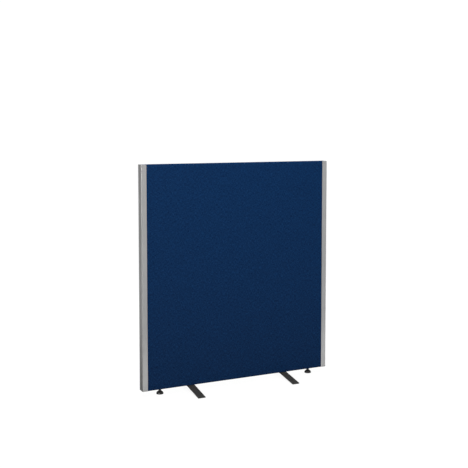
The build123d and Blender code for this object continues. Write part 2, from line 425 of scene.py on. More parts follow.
    def place_pair(self, finish: "Finish", node: str, rides: bool = False) -> list[bpy.types.Object]:
        """Places this piece at the right end, and a copy of it, turned round, at the left end.

        Args:
            finish: their surface.
            node: the node that each stands for, without its side.
            rides: whether each rides on the body named like its node, and not on the fixed one.

        Returns:
            The objects of the two pieces.
        """
        name = self.body.name
        pair = {Side.LEFT: self.turned_copy(Side.LEFT.node(name)), Side.RIGHT: self}
        self.rename(Side.RIGHT.node(name))
        placed = []
        for side, piece in pair.items():
            own = side.node(node)
            placed.append(piece.place(finish, own, body=own if rides else FIXED_BODY))
        return placed


# The paint shop: every finish is a small tree of shader nodes


class Wiring:
    """Tree of shader nodes, wired up from nothing."""

    def __init__(self, owner: bpy.types.Material | bpy.types.World) -> None:
        """Clears the owner's tree.

        Args:
            owner: the material or the surround that the nodes are for.
        """
        owner.use_nodes = True
        self.tree = owner.node_tree
        self.tree.nodes.clear()

    def node(self, kind: str, inputs: dict[str | int, object], **settings: object) -> bpy.types.Node:
        """Adds a node.

        Args:
            kind: its type, without the word that all types start with.
            inputs: the socket that each input is linked to, or its plain value.
            **settings: its other settings.

        Returns:
            The new node.
        """
        node = self.tree.nodes.new(f"ShaderNode{kind}")
        for key, value in settings.items():
            setattr(node, key, value)
        for key, value in inputs.items():
            socket = node.inputs[key]
            if isinstance(value, Socket):
                self.tree.links.new(value, socket)
            else:
                socket.default_value = (*value, 1) if socket.type == "RGBA" else value
        return node

    def ranged(self, value: Socket, start: Pair, goal: Pair) -> Socket:
        """Maps a value from one range to another, and holds it at that one's ends."""
        ends = zip(("From Min", "From Max", "To Min", "To Max"), (*start, *goal))
        return self.node("MapRange", {"Value": value, **dict(ends)}).outputs["Result"]


class Pattern(NamedTuple):
    """Soft random pattern: the width of its patches, its finer layers, and how it is drawn out."""

    size: float
    layers: float = 2
    layer_strength: float = 0.5
    scale: Point | None = None


class Recipe(Wiring):
    """Node tree of one finish, built up round a principled shader."""

    NOISE_SPAN = (0.25, 0.75)
    COLOURS_IN = (6, 7)
    COLOUR_OUT = 2

    def __init__(self, name: str, layout: Coordinates) -> None:
        """Starts an empty recipe.

        Args:
            name: the material's name.
            layout: what the patterns are laid out on.
        """
        self.material = bpy.data.materials.new(name)
        super().__init__(self.material)
        self.place = self.node("TexCoord", {}).outputs[layout.value]

    def surface(self, **values: object) -> None:
        """Adds the shader and the output.

        Args:
            **values: the shader's inputs, named in lower case with underscores.
        """
        titles = (key.replace("_", " ").title().replace("Ior", "IOR") for key in values)
        shader = self.node("BsdfPrincipled", dict(zip(titles, values.values())))
        self.node("OutputMaterial", {"Surface": shader.outputs["BSDF"]})

    def noise(self, pattern: Pattern) -> Socket:
        """Draws a soft random pattern.

        Args:
            pattern: its sizes.

        Returns:
            The pattern, from 0 to 1.
        """
        place = self.place
        if pattern.scale:
            place = self.node("Mapping", {"Vector": place, "Scale": pattern.scale}).outputs["Vector"]
        inputs = {
            "Vector": place, "Scale": 1 / pattern.size,
            "Detail": pattern.layers, "Roughness": pattern.layer_strength,
        }
        return self.node("TexNoise", inputs).outputs["Fac"]

    def reckon(self, operation: str, *values: object) -> Socket:
        """One step of arithmetic on sockets or plain numbers."""
        return self.node("Math", dict(enumerate(values)), operation=operation).outputs["Value"]

    def spread(self, pattern: Socket, low: float, high: float) -> Socket:
        """Maps a pattern from around its middle to a range of values."""
        return self.ranged(pattern, self.NOISE_SPAN, (low, high))

    def blend(self, share: Socket, *colours: object) -> Socket:
        """Colour between two others."""
        inputs = {"Factor": share, **dict(zip(self.COLOURS_IN, colours))}
        return self.node("Mix", inputs, data_type="RGBA").outputs[self.COLOUR_OUT]

    def relief(
        self, height: Socket, depth: float, strength: float = 0.5, over: Socket | None = None
    ) -> Socket:
        """Normals of a relief.

        Args:
            height: the relief's pattern.
            depth: how deep it is.
            strength: how much of it shows.
            over: the normals that it lies on, if any.

        Returns:
            The new normals.
        """
        inputs = {"Height": height, "Distance": depth, "Strength": strength}
        if over is not None:
            inputs["Normal"] = over
        return self.node("Bump", inputs).outputs["Normal"]


@dataclass(frozen=True)
class Finish:
    """A surface that pieces can share, with the record's slot for it. Its material is made once."""

    name: str
    slot: str = ""
    layout: Coordinates = Coordinates.OBJECT

    def material(self) -> bpy.types.Material:
        """Makes the finish's material at its first use.

        Returns:
            The material.
        """
        made = bpy.data.materials.get(self.name)
        if made is None:
            recipe = Recipe(self.name, self.layout)
            self.mix(recipe)
            made = recipe.material
        return made

    def mix(self, recipe: Recipe) -> None:
        """Fills in the recipe. Each kind of finish has its own."""
        raise NotImplementedError

    def on_node(self, *nodes: str) -> None:
        """Puts the finish on nodes whose own shape stays.

        Args:
            *nodes: their names.
        """
        for node in nodes:
            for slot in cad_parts[node].material_slots:
                slot.material = self.material()
            log.info("%s keeps its shape, in %s", node, self.name)


@dataclass(frozen=True)
class WovenCloth(Finish):
    """Wool-look plain weave of mixed yarns, laid out on the cloth's own flat pattern."""

    layout: Coordinates = Coordinates.UNWRAPPED
    dark: Colour = (0.0002, 0.0070, 0.0366)
    light: Colour = (0.0053, 0.0392, 0.1238)
    yarn: float = 1.1 * MM
    slub: float = 7 * MM
    mottle: Pattern = Pattern(8 * MM, 2, 0.6)
    cloud: Pattern = Pattern(90 * MM, 1)
    yarn_contrast: Pair = (-0.5, 1.5)
    mottle_contrast: Pair = (-0.25, 1.25)
    yarn_share: float = 0.65
    mottle_share: float = 0.25
    cloud_share: float = 0.1
    depth: float = 0.35 * MM
    fibre_share: float = 1 / 3

    def mix(self, recipe: Recipe) -> None:
        """Weave relief from crossing yarns, colour from the yarn on top, mottle and faint clouds.

        Args:
            recipe: the recipe to fill in.
        """
        pull = recipe.reckon("MULTIPLY", recipe.noise(Pattern(self.slub, 1)), self.yarn)
        apart = recipe.node("SeparateXYZ", {"Vector": recipe.place})
        waves = []
        for axis in ("X", "Y"):
            moved = recipe.reckon("ADD", apart.outputs[axis], pull)
            waves.append(recipe.reckon("SINE", recipe.reckon("MULTIPLY", moved, math.pi / self.yarn)))
        over = recipe.reckon("MULTIPLY", *waves)
        heights = []
        for wave, lift in zip(waves, (0.5, -0.5)):
            bend = recipe.reckon("MULTIPLY_ADD", over, lift, 0.5)
            heights.append(recipe.reckon("MULTIPLY", recipe.reckon("ABSOLUTE", wave), bend))
        squeeze = self.yarn / self.slub
        yarns = []
        for scale in ((squeeze, 1, 1), (1, squeeze, 1)):
            threads = recipe.noise(Pattern(2 * self.yarn, 1, scale=scale))
            yarns.append(recipe.spread(threads, *self.yarn_contrast))
        yarns = recipe.blend(recipe.reckon("GREATER_THAN", *heights), *yarns)
        tone = recipe.reckon("MULTIPLY", yarns, self.yarn_share)
        mottle = recipe.spread(recipe.noise(self.mottle), *self.mottle_contrast)
        tone = recipe.reckon("MULTIPLY_ADD", mottle, self.mottle_share, tone)
        tone = recipe.reckon("MULTIPLY_ADD", recipe.noise(self.cloud), self.cloud_share, tone)
        fibres = recipe.noise(Pattern(self.yarn * self.fibre_share))
        fibres = recipe.relief(fibres, self.depth * self.fibre_share)
        weave = recipe.reckon("MAXIMUM", *heights)
        recipe.surface(
            base_color=recipe.blend(tone, self.dark, self.light),
            roughness=0.92,
            specular_ior_level=0.05,
            sheen_weight=0.06,
            sheen_roughness=0.35,
            sheen_tint=(0.3, 0.5, 1.0),
            normal=recipe.relief(weave, self.depth, strength=0.6, over=fibres),
        )


@dataclass(frozen=True, kw_only=True)
class HardSurface(Finish):
    """Metal or plastic: a mottle in colour, a varying gloss and a fine grain in relief."""

    shades: tuple[Colour, Colour]
    light_share: float = 1
    mottle: Pattern
    grain: Pattern
    depth: float
    strength: float = 0.5
    roughness: Pair
    gloss_follows_grain: bool = False
    specular: float = 0.5
    metallic: float = 0
    clear_layer: float = 0
    clear_roughness: float = 0.2

    def mix(self, recipe: Recipe) -> None:
        """Two shades by the mottle, gloss by the mottle or the grain, and the grain's relief.

        Args:
            recipe: the recipe to fill in.
        """
        mottle, grain = recipe.noise(self.mottle), recipe.noise(self.grain)
        gloss = grain if self.gloss_follows_grain else mottle
        recipe.surface(
            base_color=recipe.blend(recipe.spread(mottle, 0, self.light_share), *self.shades),
            metallic=self.metallic,
            roughness=recipe.spread(gloss, *self.roughness),
            specular_ior_level=self.specular,
            coat_weight=self.clear_layer,
            coat_roughness=self.clear_roughness,
            normal=recipe.relief(grain, self.depth, self.strength),
        )


@dataclass(frozen=True)
class Timber(Finish):
    """Planed timber with its grain along one axis."""

    early: Colour = (0.62, 0.43, 0.24)
    late: Colour = (0.42, 0.25, 0.12)
    ring: float = 5 * MM
    ring_turns: float = 60
    pore: float = 0.6 * MM
    pore_depth: float = 0.08 * MM
    grain: Point = (1, 1, 0.05)

    def mix(self, recipe: Recipe) -> None:
        """Growth rings drawn out along the grain, with pores in relief.

        Args:
            recipe: the recipe to fill in.
        """
        bend = recipe.noise(Pattern(6 * self.ring, scale=self.grain))
        rings = recipe.reckon("SINE", recipe.reckon("MULTIPLY", bend, self.ring_turns))
        pores = recipe.noise(Pattern(self.pore, 3, 0.6, self.grain))
        rings = recipe.reckon("MULTIPLY_ADD", rings, 0.5, 0.5)
        recipe.surface(
            base_color=recipe.blend(rings, self.early, self.late),
            roughness=recipe.spread(pores, 0.55, 0.72),
            normal=recipe.relief(pores, self.pore_depth),
        )


@dataclass(frozen=True)
class PressedBoard(Finish):
    """Hardboard pressed from brown fibre."""

    dark: Colour = (0.16, 0.09, 0.05)
    light: Colour = (0.29, 0.18, 0.10)
    fleck: Pattern = Pattern(1.5 * MM, 4, 0.7)
    patch: Pattern = Pattern(30 * MM)
    depth: float = 0.05 * MM

    def mix(self, recipe: Recipe) -> None:
        """Fibre flecks in colour and in a shallow relief.

        Args:
            recipe: the recipe to fill in.
        """
        flecks, patches = recipe.noise(self.fleck), recipe.noise(self.patch)
        tone = recipe.reckon("MULTIPLY", recipe.reckon("ADD", flecks, patches), 0.5)
        recipe.surface(
            base_color=recipe.blend(recipe.spread(tone, 0, 1), self.dark, self.light),
            roughness=0.6,
            normal=recipe.relief(flecks, self.depth),
        )


@dataclass(frozen=True)
class OpenFoam(Finish):
    """Open-celled foam or fibrous wool, by its colours and the size of its cells."""

    dark: Colour = (0.55, 0.54, 0.48)
    light: Colour = (0.78, 0.77, 0.71)
    cell: float = 0.8 * MM
    clump_cells: float = 12
    # How much of the tone is painted shade in the hollows of the cell relief.
    cell_hollow_shade_share: float = 0.6
    depth: float = 0.3 * MM

    def mix(self, recipe: Recipe) -> None:
        """Cells or fibre clumps: painted shade darkens the hollows of the cells, the clumps vary in
        tone at random, and the tops are pale.

        Args:
            recipe: the recipe to fill in.
        """
        inputs = {"Vector": recipe.place, "Scale": 1 / self.cell}
        cells = recipe.node("TexVoronoi", inputs).outputs["Distance"]
        clumps = recipe.noise(Pattern(self.cell * self.clump_cells, 3))
        # Tone: painted shade where the cell relief is low, plus a random tone from the clumps.
        tone = recipe.reckon("MULTIPLY_ADD", cells, self.cell_hollow_shade_share, clumps)
        recipe.surface(
            base_color=recipe.blend(recipe.spread(tone, 0, 1), self.dark, self.light),
            roughness=0.95,
            normal=recipe.relief(cells, self.depth, strength=0.7),
        )


NAVY_CLOTH = WovenCloth("navy_weave", "navy_cloth")
SILVER_ALUMINIUM = HardSurface(
    "silver_satin_aluminium", "silver_aluminium", shades=(grey(0.33294), grey(0.358)),
    mottle=Pattern(40 * MM), grain=Pattern(0.35 * MM, 3, 0.6, (1, 1, 0.35 / 60)), depth=0.02 * MM,
    roughness=(0.33, 0.43), gloss_follows_grain=True, metallic=0.15, clear_layer=0.8,
)
SILVER_PLASTIC = HardSurface(
    "silver_moulded_plastic", "silver_plastic", shades=(grey(0.35), grey(0.4035)),
    mottle=Pattern(12 * MM), grain=Pattern(0.5 * MM, 3, 0.6), depth=0.03 * MM,
    roughness=(0.36, 0.48), specular=0.35,
)
BLACK_PLASTIC = replace(
    SILVER_PLASTIC, name="black_moulded_plastic", slot="black_plastic",
    shades=(grey(0.016), grey(0.0194)), roughness=(0.34, 0.46),
)
BLACK_COAT = HardSurface(
    "black_powder_coat", "black_coated_steel",
    shades=((0.0222, 0.0210, 0.0186), (0.0373, 0.0355, 0.0319)), light_share=0.6,
    mottle=Pattern(22 * MM, 4, 0.7, (1, 0.4, 1)), grain=Pattern(0.9 * MM, 2, 0.45),
    depth=0.06 * MM, strength=0.6, roughness=(0.61, 0.49), specular=0.4,
)
BRIGHT_ZINC = HardSurface(
    "bright_zinc_steel", shades=((0.44, 0.44, 0.424), (0.55, 0.55, 0.53)),
    mottle=Pattern(3 * MM, 3), grain=Pattern(0.15 * MM, scale=(0.1, 0.1, 1)), depth=0.01 * MM,
    strength=0.4, roughness=(0.28, 0.43), metallic=1,
)
BLACK_ZINC = replace(
    BRIGHT_ZINC, name="black_zinc_steel", slot="black_zinc_steel",
    shades=(grey(0.048), grey(0.06)), roughness=(0.31, 0.46),
)
UPRIGHT_PINE = Timber("pine_upright")
LEVEL_PINE = Timber("pine_level", grain=(0.05, 1, 1))
BEECH = Timber(
    "beech", early=(0.62, 0.42, 0.27), late=(0.5, 0.31, 0.18), ring=2 * MM, grain=(0.3, 1, 0.3)
)
HARDBOARD = PressedBoard("brown_hardboard")
WHITE_FOAM = OpenFoam("white_foam", "white_foam")
MINERAL_WOOL = OpenFoam(
    "mineral_wool", "mineral_wool", dark=(0.30, 0.25, 0.13), light=(0.47, 0.41, 0.24),
    cell=1.6 * MM, depth=0.8 * MM,
)


# The sub-assemblies


@dataclass
class PaddedPanel:
    """Timber frame, infill, boards and foam inside one stretched cloth."""

    fold_radius: float = 3.5 * MM
    fold_steps: int = 5
    roll_radius: float = 2 * MM
    roll_steps: int = 4
    trim_gap: float = 0.3 * MM
    hem_half: float = 1.5 * MM
    cloth_thickness: float = 1 * MM
    crown: float = 0.55 * MM
    crown_reach: float = 18 * MM
    unevenness: float = 0.12 * MM
    swell_count: int = 5
    swells_along: Pair = (4, 11)
    swells_up: Pair = (3, 9)
    patch: float = 15 * MM
    glide_hole: float = 6 * MM
    screw_hole: float = 3.3 * MM
    foam_edge: float = 0.6 * MM
    wool_step: float = 30 * MM
    wool_ruffle: Pair = (0.1 * MM, 0.5 * MM)
    crease: float = 40
    seed: int = 4

    def __post_init__(self) -> None:
        """Reads the cloth's extents from the frame."""
        self.low, self.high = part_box("fabric_cover")
        self.roll_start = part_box("right_trim")[0].x - self.trim_gap - self.roll_radius

    def along_outline(self, depth: float, height: float) -> float:
        """How far along the cloth a point of its outline lies, from the foot of the front up and over.

        Args:
            depth: the point's Y.
            height: the point's Z.

        Returns:
            The length of cloth up to the point, below nothing on the underside of the front.
        """
        radius = self.fold_radius
        quarter = radius * math.pi / 2
        level = self.high.y - radius
        upright = self.high.z - self.low.z - 2 * radius
        place = above = height - self.low.z - radius
        if not 0 <= above <= upright:
            inward = level - abs(depth)
            past = above - upright if above > upright else -above
            turn = quarter + inward if inward >= 0 else radius * math.atan2(past, -inward)
            place = upright + turn if above > upright else -turn
        return place if depth < 0 else 2 * (upright + quarter + level) - place

    def shell(self) -> Workpiece:
        """The outside of the cloth: an open tube, folded at top and bottom and rolled in at its ends.

        Returns:
            The cloth as a sheet without thickness.
        """
        start = Vector((-self.roll_start, self.low.y, self.low.z))
        end = Vector((self.roll_start, self.high.y, self.high.z))
        wrap = Workpiece.cuboid("cloth_cover", start, end)
        with wrap.editing():
            wrap.cut_out(lambda _, normal: abs(normal.x) > ALONG)
            wrap.round_off(self.fold_radius, self.fold_steps, lambda _, run: abs(run.x) > ALONG)
            wrap.slice_along("x", round(2 * self.roll_start / self.patch))
            wrap.slice_along("z", round((self.high.z - self.low.z) / self.patch))
            for hem in (-self.hem_half, self.hem_half):
                wrap.choose(Kind.FACE, lambda _, normal: normal.z < -ALONG)
                bpy.ops.mesh.bisect(plane_co=(0, hem, 0), plane_no=(0, 1, 0))
            wrap.cut_out(lambda middle, normal: normal.z < -ALONG and abs(middle.y) < self.hem_half)
            for side in Side:
                self.roll_in(wrap, side.value)
        return wrap

    def roll_in(self, wrap: Workpiece, sign: int) -> None:
        """Rolls one end of the cloth into its trim and on to the edge of the panel, in edit mode.

        Args:
            wrap: the cloth.
            sign: the sign of that end's X.
        """
        wrap.choose(Kind.EDGE, lambda middle, _: sign * middle.x > self.roll_start - TINY)
        place, depth = self.roll_start, self.high.y
        steps = []
        for step in range(1, self.roll_steps + 1):
            turn = math.radians(90) * step / self.roll_steps
            steps.append((self.roll_start + self.roll_radius * math.sin(turn),
                          self.high.y - self.roll_radius * (1 - math.cos(turn))))
        steps.append((self.high.x, self.high.y - self.roll_radius))
        for new_place, new_depth in steps:
            wrap.extrude((sign * (new_place - place), 0, 0))
            centre = (sign * new_place, 0, 0)
            bpy.ops.transform.resize(value=(1, new_depth / depth, 1), center_override=centre)
            place, depth = new_place, new_depth

    def lay_out(self, wrap: Workpiece) -> None:
        """Unwraps the cloth at its real size, along its width and round its outline.

        Args:
            wrap: the cloth, without thickness.
        """
        mesh = wrap.body.data
        for loop, flat in zip(mesh.loops, mesh.uv_layers.active.data):
            spot = mesh.vertices[loop.vertex_index].co
            inset = min(max(0.0, abs(spot.x) - self.roll_start), self.roll_radius)
            depth = min(self.high.y, abs(spot.y) * self.high.y / (self.high.y - inset))
            flat.uv = (spot.x, self.along_outline(math.copysign(depth, spot.y), spot.z))

    def puff(self, wrap: Workpiece) -> None:
        """Lets the cloth stand up over its foam away from the edges, a little unevenly.

        Args:
            wrap: the cloth, without thickness.
        """
        chance = random.Random(self.seed)
        swells = []
        for _ in range(self.swell_count):
            across, up = chance.uniform(*self.swells_along), chance.uniform(*self.swells_up)
            swells.append((across, up, chance.uniform(0, math.tau)))
        for corner in wrap.body.data.vertices:
            spot = corner.co
            from_side = self.roll_start - abs(spot.x)
            from_end = min(self.high.z - spot.z, spot.z - self.low.z) - self.fold_radius
            off_face = self.high.y - abs(spot.y) > TINY / 10
            if off_face or from_side < -TINY or from_end < 0:
                continue
            share = math.prod(1 - math.exp(-far / self.crown_reach) for far in (from_side, from_end))
            wave = sum(math.sin(a * spot.x + b * spot.z + c) for a, b, c in swells) / len(swells)
            spot.y += math.copysign(share * (self.crown + self.unevenness * wave), spot.y)

    def cloth(self) -> None:
        """The one cloth that covers the panel, with holes for the glides and the foot screws."""
        wrap = self.shell()
        self.lay_out(wrap)
        self.puff(wrap)
        thickness = self.cloth_thickness
        wrap.modify("SOLIDIFY", thickness=thickness, offset=-1, use_even_offset=True)
        holes = []
        for side in Side:
            low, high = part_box(side.node("glide_stem"))
            holes.append(((low.x + high.x) / 2, self.glide_hole))
            holes += [(x, self.screw_hole) for x in screw_places(side)]
        wrap.drill(holes, self.low.z, length=4 * thickness, sides=24)
        wrap.smooth(self.crease)
        piece = wrap.place(NAVY_CLOTH, "fabric_cover")

    def foam(self) -> None:
        """The foam sheets under the cloth, front and rear."""
        front = Workpiece.cuboid("front_foam_sheet", *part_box("front_foam"))
        front.ease_edges(self.foam_edge)
        rear = front.turned_copy("rear_foam_sheet")
        for sheet, node in ((front, "front_foam"), (rear, "rear_foam")):
            sheet.place(WHITE_FOAM, node)

    def wool(self) -> None:
        """The slabs of sound-absorbing wool, with ruffled faces."""
        chance = random.Random(self.seed)
        low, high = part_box("right_acoustic_core")
        slab = Workpiece.cuboid("wool_slab", low, high)
        with slab.editing():
            slab.slice_along("z", round((high.z - low.z) / self.wool_step))
            slab.slice_along("x", round((high.x - low.x) / self.wool_step))
        middle, half = (low + high) / 2, (high - low) / 2
        for corner in slab.body.data.vertices:
            for axis in range(3):
                give = chance.uniform(*self.wool_ruffle)
                out = corner.co[axis] - middle[axis]
                if abs(abs(out) - half[axis]) < TINY:
                    corner.co[axis] -= math.copysign(give, out)
        slab.smooth(self.crease)
        for piece in slab.place_pair(MINERAL_WOOL, "acoustic_core"):
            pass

    def build(self) -> None:
        """Makes the soft pieces and dresses the hard ones."""
        self.foam()
        self.wool()
        self.cloth()
        LEVEL_PINE.on_node("frame_top_rail", "frame_bottom_rail")
        UPRIGHT_PINE.on_node("frame_left_stile", "frame_right_stile", "frame_centre_batten")
        BEECH.on_node("frame_dowels")
        HARDBOARD.on_node("front_board", "rear_board")
        BRIGHT_ZINC.on_node("fabric_staples")


@dataclass
class EdgeTrims:
    """Extruded channels on both upright edges, with their infill strips, end caps and screws."""

    wall: float = 1.8 * MM
    web: float = 2 * MM
    slot_depth: float = 8 * MM
    slot_half: float = 10 * MM
    lip_length: float = 2 * MM
    lip_drop: float = 1.2 * MM
    strip_thickness: float = 2 * MM
    leg_thickness: float = 1.2 * MM
    prong_fit: float = 0.1 * MM
    prong_length: float = 15 * MM
    arris: float = 1.5 * MM
    arris_steps: int = 5
    metal_edge: float = 0.45 * MM
    cap_edge: float = 0.6 * MM
    strip_edge: float = 0.3 * MM

    def __post_init__(self) -> None:
        """Reads the right channel's extents from the frame."""
        low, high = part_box("right_trim")
        self.inner, self.outer = low.x, high.x
        self.half, self.bottom, self.top = high.y, low.z, high.z
        self.web_outer = self.outer - self.slot_depth
        self.web_inner = self.web_outer - self.web
        self.pocket_half = self.half - self.wall
        self.lip_half = self.pocket_half - self.lip_drop

    def both_faces(self, *places: float) -> list[float]:
        """Y places on both faces of the screen for distances from its middle plane."""
        return [sign * place for sign in (-1, 1) for place in places]

    def is_channel(self, x: float, y: float) -> bool:
        """Whether the channel's section is solid at a point.

        Args:
            x: the point's X.
            y: the point's Y.

        Returns:
            Whether it is.
        """
        deep = abs(y)
        if x < self.web_inner:
            lip = x < self.inner + self.lip_length and deep > self.lip_half
            return lip or deep > self.pocket_half
        slot_wall = self.slot_half < deep < self.slot_half + self.wall
        outer_wall = x > self.outer - self.wall and deep > self.slot_half
        return x < self.web_outer or slot_wall or outer_wall or deep > self.pocket_half

    def round_arrises(self, bar: Workpiece) -> None:
        """Rounds the two outer upright corners of a bar at the end of the screen.

        Args:
            bar: the channel or a cap.
        """
        outer, half = self.outer - TINY, self.half - TINY
        with bar.editing():
            bar.round_off(
                self.arris, self.arris_steps,
                lambda middle, run: abs(run.z) > ALONG and middle.x > outer and abs(middle.y) > half,
            )

    def channel(self) -> None:
        """The extrusion itself."""
        columns = (
            self.inner, self.inner + self.lip_length, self.web_inner, self.web_outer,
            self.outer - self.wall, self.outer,
        )
        rows = self.both_faces(
            self.slot_half, self.slot_half + self.wall, self.lip_half, self.pocket_half, self.half
        )
        bar = Workpiece.section("trim_channel", columns, rows, self.is_channel, self.bottom)
        bar.rise(self.top - self.bottom)
        self.round_arrises(bar)
        bar.ease_edges(self.metal_edge)
        bar.place_pair(SILVER_ALUMINIUM, "trim")

    def strip(self) -> None:
        """The flush strip over the screws."""
        low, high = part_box("right_infill_strip")
        face = high.x - self.strip_thickness
        leg = high.y - self.leg_thickness
        bar = Workpiece.section(
            "cover_strip", (low.x, face, high.x), self.both_faces(leg, high.y),
            lambda x, y: x > face or abs(y) > leg, low.z,
        )
        bar.rise(high.z - low.z)
        bar.ease_edges(self.strip_edge)
        bar.place_pair(SILVER_PLASTIC, "infill_strip")

    def caps(self) -> None:
        """The end caps: a plate with the channel's outline and two prongs. All four are alike."""
        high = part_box("right_top_cap")[1]
        prong_x = (self.web_outer + self.prong_fit, self.outer - self.wall - self.prong_fit)
        prong_y = (self.slot_half + self.wall + self.prong_fit, self.pocket_half - self.prong_fit)
        top = Workpiece.section(
            "top_end_cap", (self.inner, self.web_inner, *prong_x, self.outer),
            self.both_faces(*prong_y, self.lip_half, self.half),
            lambda x, y: x > self.web_inner or abs(y) > self.lip_half, self.top,
        )
        with top.editing():
            bpy.ops.mesh.select_all(action="SELECT")
            top.extrude((0, 0, high.z - self.top))
            top.tidy_mesh()
            top.choose(
                Kind.FACE,
                lambda middle, normal: normal.z < -ALONG
                and prong_x[0] < middle.x < prong_x[1] and prong_y[0] < abs(middle.y) < prong_y[1],
            )
            top.extrude((0, 0, -self.prong_length))
            top.merge_flats()
        self.round_arrises(top)
        top.ease_edges(self.cap_edge)
        bottom = top.turned_copy("bottom_end_cap", "X", (0, 0, (self.bottom + self.top) / 2))
        top.place_pair(SILVER_PLASTIC, "top_cap")
        bottom.place_pair(SILVER_PLASTIC, "bottom_cap")

    def build(self) -> None:
        """Makes the channels, strips and caps, and dresses the screws."""
        self.channel()
        self.strip()
        self.caps()
        BRIGHT_ZINC.on_node("left_trim_screws", "right_trim_screws")


@dataclass
class BarFeet:
    """Stabilising feet of bent flat bar, with their screws and sleeves."""

    thickness: float = 5 * MM
    land: float = 30 * MM
    toe: float = 8 * MM
    bend_radius: float = 6 * MM
    bend_steps: int = 5
    tip_radius: float = 3 * MM
    tip_steps: int = 5
    edge: float = 0.7 * MM
    crease: float = 40
    screw_hole: float = 3.3 * MM

    def underside(self) -> list[Pair]:
        """The underside's outline from the middle to the tip, with its two bends rounded.

        Returns:
            Y and Z of each point.
        """
        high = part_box("right_foot")[1]
        rise = high.z - self.thickness
        land, toe = self.land / 2, high.y - self.toe
        slope = math.atan2(rise, toe - land)
        shift = self.thickness * math.tan(slope / 2)
        bends = [((land - shift, rise), self.bend_radius, 0, -1),
                 ((toe - shift, 0), self.bend_radius + self.thickness, -slope, 1)]
        points = [(0.0, rise)]
        for corner, radius, heading, turn in bends:
            start = Vector(corner) - radius * math.tan(slope / 2) * facing(heading)
            centre = start + turn * radius * facing(heading + math.pi / 2)
            for step in range(self.bend_steps + 1):
                angle = heading + turn * slope * step / self.bend_steps
                points.append(tuple(centre - turn * radius * facing(angle + math.pi / 2)))
        points.append((high.y, 0.0))
        return points

    def bar(self) -> None:
        """The bar: half of its underside drawn edge by edge, mirrored, thickened and drilled."""
        low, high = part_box("right_foot")
        (middle_y, rise), *points = self.underside()
        flat_end = points[0][0]
        piece = Workpiece.section(
            "bent_bar_foot", (low.x, high.x), (middle_y, flat_end), lambda *_: True, rise
        )
        with piece.editing():
            piece.choose(Kind.EDGE, lambda middle, _: middle.y > flat_end - TINY)
            for (y, z), (next_y, next_z) in zip(points, points[1:]):
                piece.extrude((0, next_y - y, next_z - z))
        piece.modify("MIRROR", use_axis=(False, True, False), use_clip=True)
        with piece.editing():
            piece.tidy_mesh()
            if piece.choose(Kind.FACE, lambda _, normal: normal.z > 0) == 0:
                bpy.ops.mesh.select_all(action="SELECT")
                bpy.ops.mesh.flip_normals()
        piece.modify("SOLIDIFY", thickness=self.thickness, offset=1, use_even_offset=True)
        with piece.editing():
            piece.tidy_mesh()
            tip = high.y - TINY
            piece.round_off(
                self.tip_radius, self.tip_steps,
                lambda middle, run: abs(run.z) > ALONG and abs(middle.y) > tip,
            )
        holes = [(x, self.screw_hole) for x in screw_places(Side.RIGHT)]
        piece.drill(holes, high.z - self.thickness / 2, length=3 * self.thickness, sides=32)
        piece.ease_edges(self.edge, self.crease)
        piece.place_pair(BLACK_COAT, "foot")

    def build(self) -> None:
        """Makes the bars and dresses their screws and sleeves."""
        self.bar()
        BLACK_ZINC.on_node("left_foot_screws", "right_foot_screws")
        BRIGHT_ZINC.on_node("left_foot_inserts", "right_foot_inserts")


